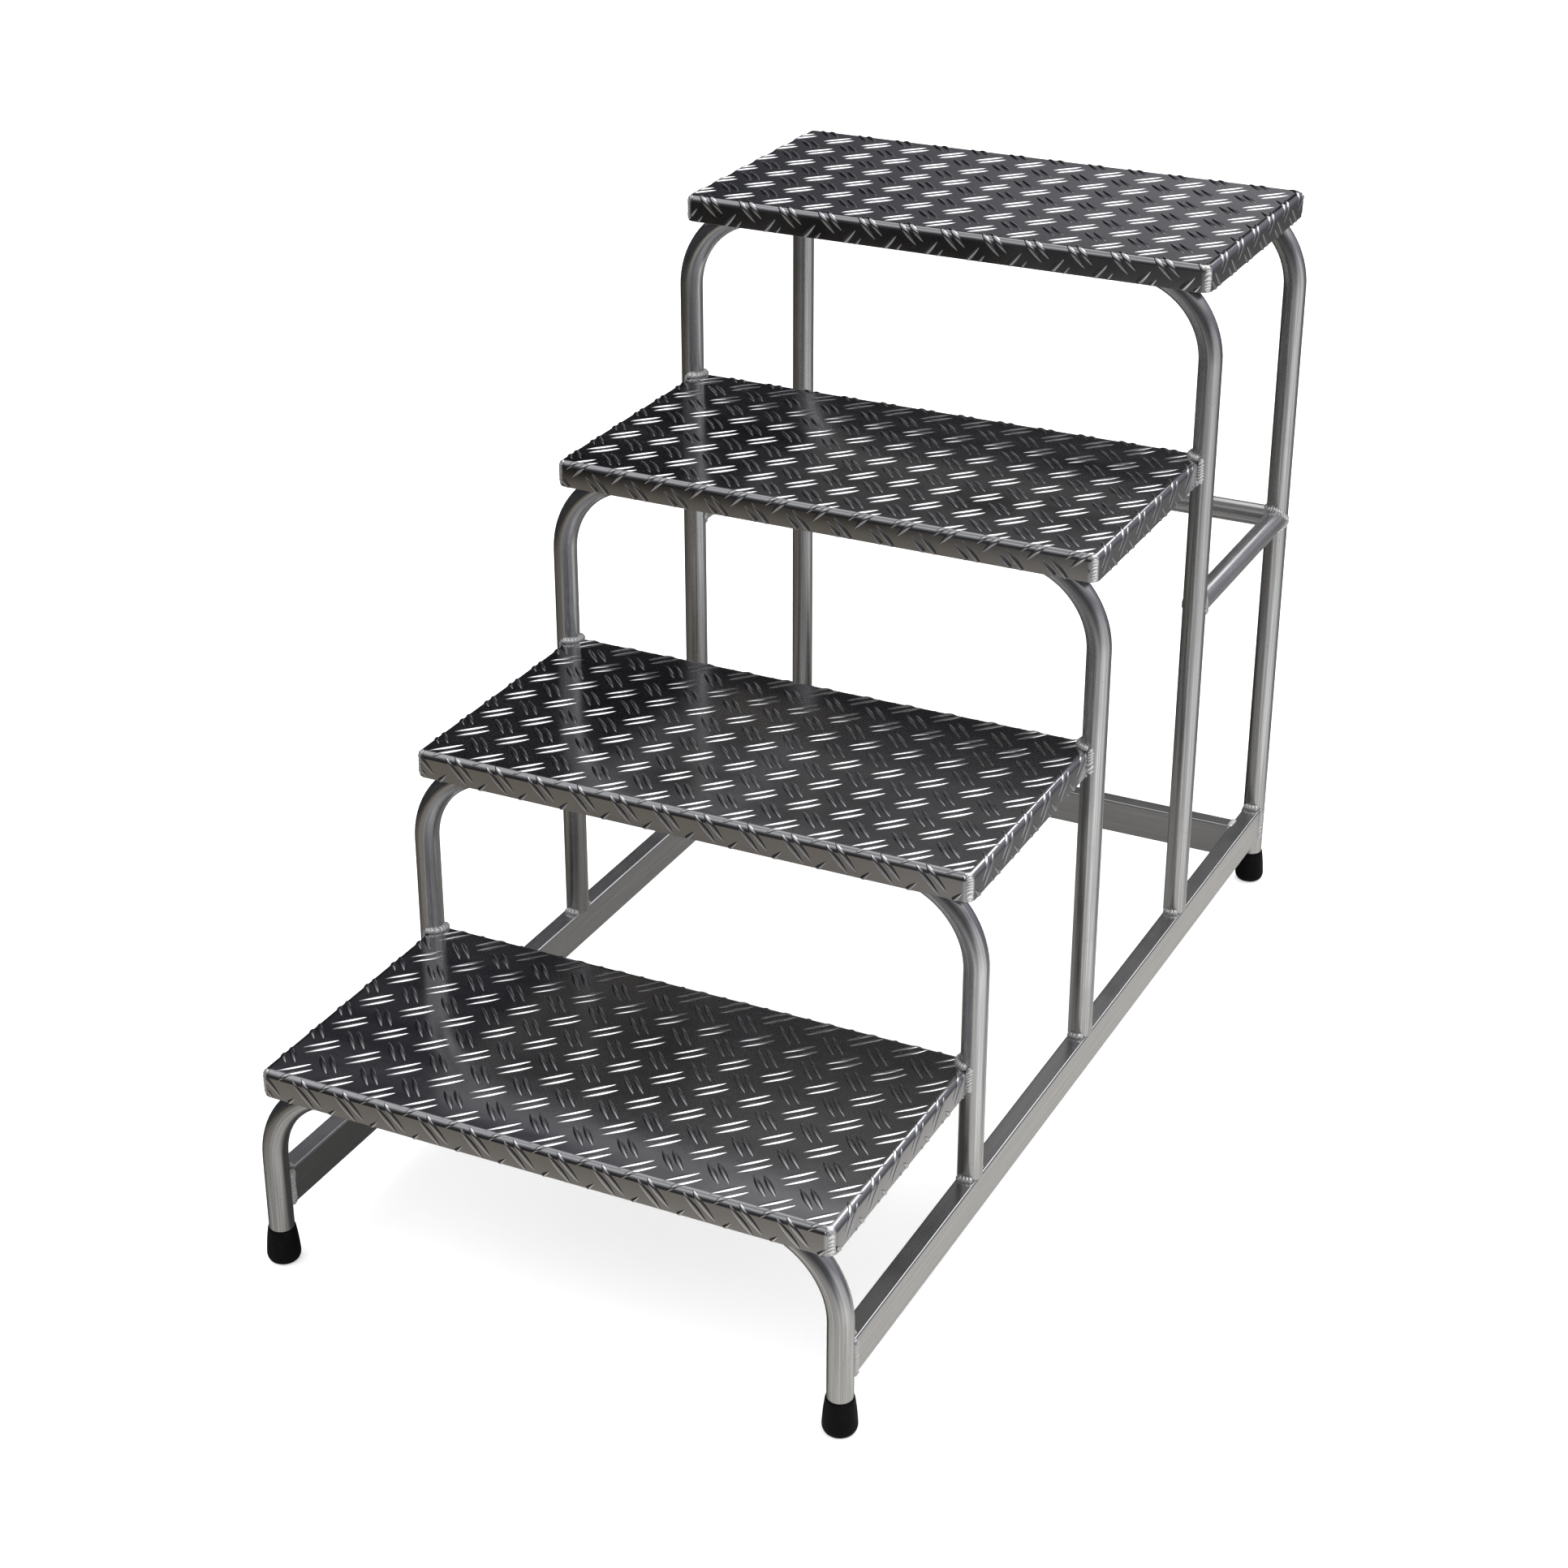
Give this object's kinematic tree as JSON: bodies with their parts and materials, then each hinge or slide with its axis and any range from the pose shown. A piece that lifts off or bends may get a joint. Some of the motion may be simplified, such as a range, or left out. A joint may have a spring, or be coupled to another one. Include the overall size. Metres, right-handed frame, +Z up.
{
  "type": "mounting block",
  "caption": "Open stepped aluminium mounting block: folded checker-plate treads on bent-tube hoops, a welded box-section base frame and rubber feet.",
  "frame": {"origin": "on the floor under the middle of the bounding box", "axes": "+Z up, +Y the way a rider climbs, from the lowest tread to the highest, +X to the climber's right"},
  "size_m": [0.6334, 1.1977, 0.843],
  "materials": {
    "checker_plate": "rolled checker plate, semi-bright",
    "round_tube": "mill finish, drawn",
    "box_section": "mill finish, extruded",
    "weld_metal": "as welded, rippled",
    "foot_rubber": "moulded, satin"
  },
  "bodies": {
    "root": {"tread_1": "checker_plate", "tread_2": "checker_plate", "tread_3": "checker_plate", "tread_4": "checker_plate", "hoop_1": "round_tube", "hoop_2": "round_tube", "hoop_3": "round_tube", "hoop_4": "round_tube", "hoop_5": "round_tube", "base_rail_right": "box_section", "base_rail_left": "box_section", "cross_rail": "box_section", "cross_tube": "round_tube", "side_tube_right": "round_tube", "side_tube_left": "round_tube", "foot_front_right": "foot_rubber", "foot_front_left": "foot_rubber", "foot_rear_right": "foot_rubber", "foot_rear_left": "foot_rubber", "corner_welds_1": "weld_metal", "corner_welds_2": "weld_metal", "corner_welds_3": "weld_metal", "corner_welds_4": "weld_metal", "leg_welds_2": "weld_metal", "leg_welds_3": "weld_metal", "leg_welds_4": "weld_metal", "hoop_stitches_1": "weld_metal", "hoop_stitches_2": "weld_metal", "hoop_stitches_3": "weld_metal", "hoop_stitches_4": "weld_metal", "hoop_stitches_5": "weld_metal", "rail_welds_right": "weld_metal", "rail_welds_left": "weld_metal", "cross_rail_welds": "weld_metal", "cross_tube_welds": "weld_metal", "side_tube_welds": "weld_metal"}
  },
  "joints": []
}
